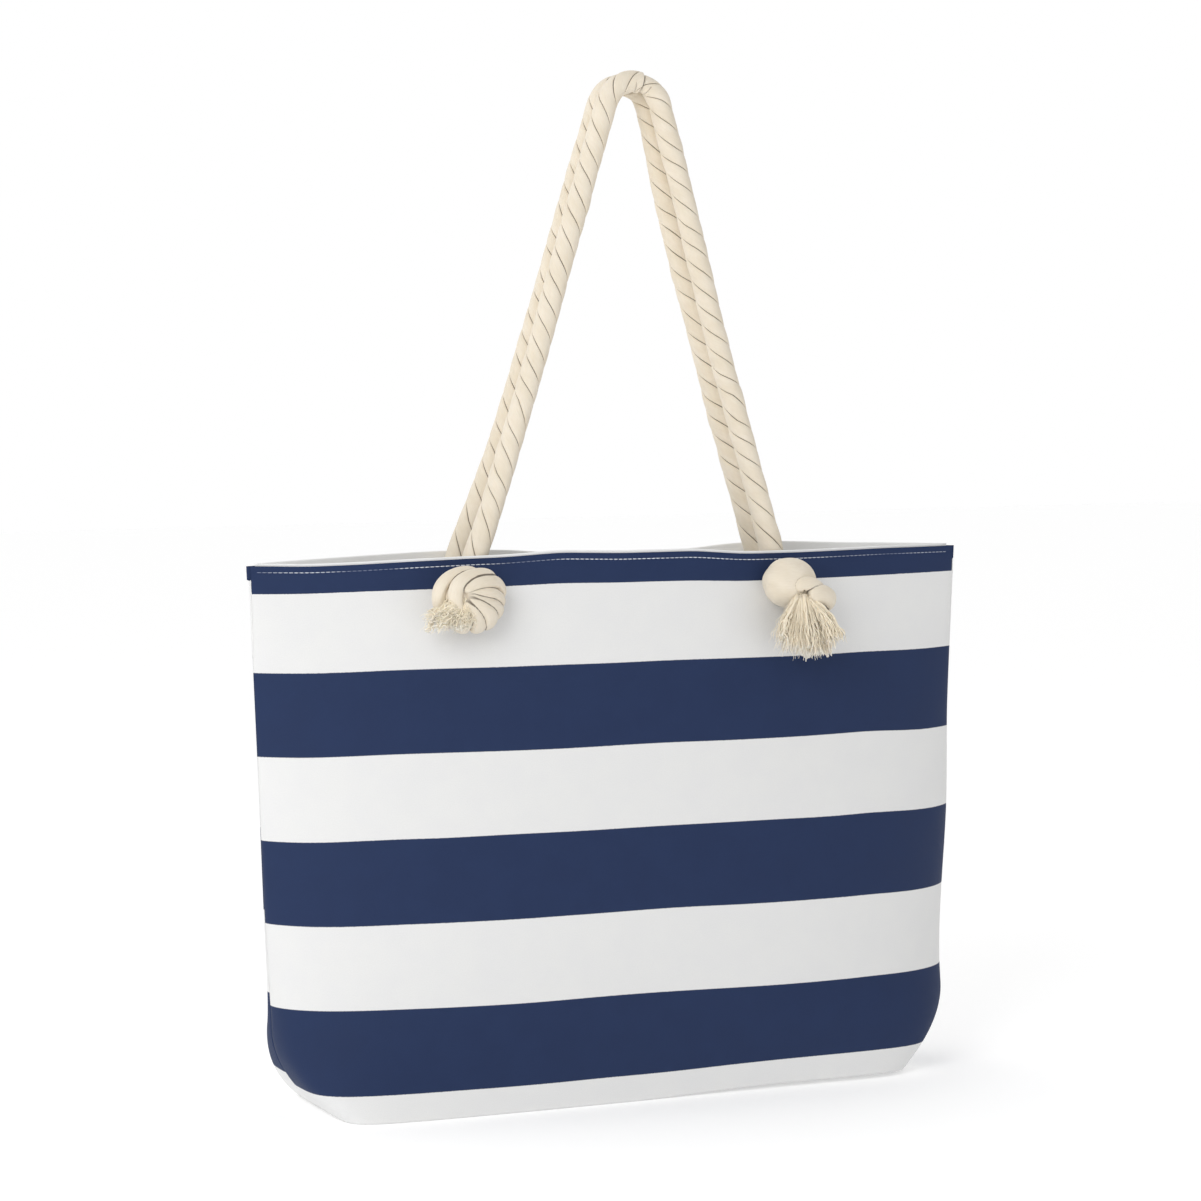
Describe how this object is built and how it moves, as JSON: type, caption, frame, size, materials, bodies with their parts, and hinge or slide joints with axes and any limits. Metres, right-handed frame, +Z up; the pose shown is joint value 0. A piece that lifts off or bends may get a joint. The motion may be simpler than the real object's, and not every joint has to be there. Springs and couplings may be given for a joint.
{
  "type": "beach bag",
  "caption": "Free-standing striped canvas tote with a flat boxed base, white lining, metal eyelets, and two twisted rope handles tied off in stopper knots with frayed ends.",
  "frame": {"origin": "centre of the base, on the ground", "axes": "+Z up, +X to the right as the front face is seen, -Y towards the front face; the knots stand out of the front and rear faces"},
  "size_m": [0.5394, 0.1536, 0.7236],
  "materials": {
    "canvas": "matt",
    "lining": "matt",
    "rope": "matt",
    "eyelet_metal": "satin"
  },
  "bodies": {
    "bag": {"front_panel": "canvas", "rear_panel": "canvas", "front_lining": "lining", "rear_lining": "lining", "eyelet_front_left": "eyelet_metal", "eyelet_front_right": "eyelet_metal", "eyelet_rear_left": "eyelet_metal", "eyelet_rear_right": "eyelet_metal", "eyelet_washer_front_left": "eyelet_metal", "eyelet_washer_front_right": "eyelet_metal", "eyelet_washer_rear_left": "eyelet_metal", "eyelet_washer_rear_right": "eyelet_metal", "rope_tail_front_left": "rope", "rope_tail_front_right": "rope", "rope_tail_rear_left": "rope", "rope_tail_rear_right": "rope", "knot_front_left": "rope", "knot_front_right": "rope", "knot_rear_left": "rope", "knot_rear_right": "rope", "tassel_front_left": "rope", "tassel_front_right": "rope", "tassel_rear_left": "rope", "tassel_rear_right": "rope"},
    "front_handle": {"front_handle": "rope"},
    "rear_handle": {"rear_handle": "rope"}
  },
  "joints": [
    {"name": "front_handle_swing", "type": "hinge", "parent": "bag", "child": "front_handle", "pos_m": [0, -0.0175, 0.394], "axis": [1, 0, 0], "range_deg": [0, 98]},
    {"name": "rear_handle_swing", "type": "hinge", "parent": "bag", "child": "rear_handle", "pos_m": [0, 0.0175, 0.394], "axis": [-1, 0, 0], "range_deg": [0, 98]}
  ]
}
